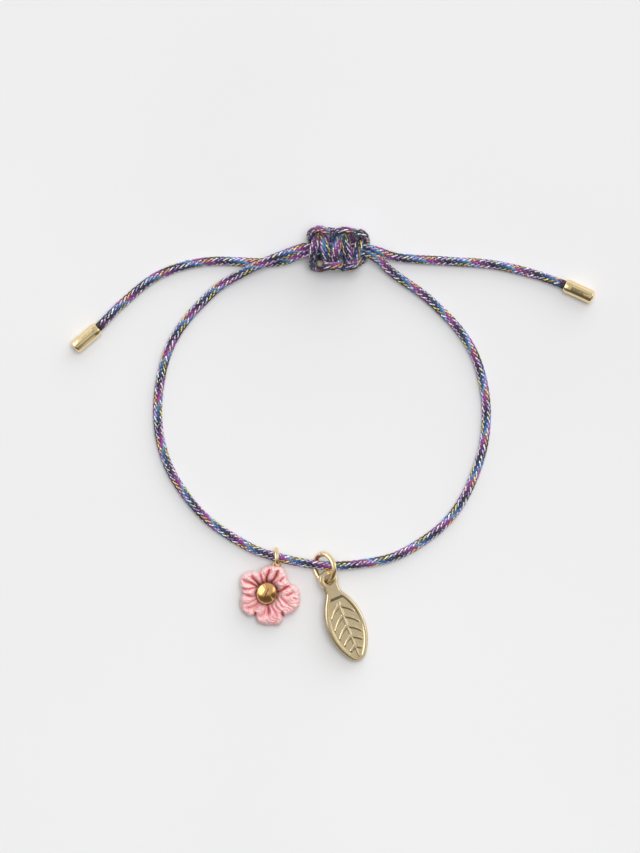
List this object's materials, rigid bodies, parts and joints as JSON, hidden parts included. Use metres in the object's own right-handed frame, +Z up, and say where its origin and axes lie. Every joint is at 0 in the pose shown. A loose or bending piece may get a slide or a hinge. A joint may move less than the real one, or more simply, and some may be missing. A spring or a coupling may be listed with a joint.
{
  "type": "cord bracelet with charms",
  "caption": "Adjustable bracelet of braided cord, closed by a sliding square knot, with end caps, a flower charm and a leaf-shaped tag on jump rings.",
  "frame": {"origin": "middle of the whole outline seen from above, at the surface that the bracelet lies on", "axes": "+Z up from the surface, through the wrist loop; +X along the outline's long side, from the left end cap to the right one; +Y towards the sliding knot, away from the charms"},
  "size_m": [0.0942, 0.0777, 0.0056],
  "materials": {
    "braid": "braided yarn with metallic threads",
    "polished_gold": "polished",
    "pale_gold": "satin",
    "pink_petals": "gloss"
  },
  "bodies": {
    "root": {"cord": "braid", "knot_cord": "braid", "cap_left": "polished_gold", "cap_right": "polished_gold", "flower_petals": "pink_petals", "flower_bead": "polished_gold", "flower_mount": "polished_gold", "flower_ring": "polished_gold", "tag_ring": "polished_gold", "tag": "pale_gold"}
  },
  "joints": []
}
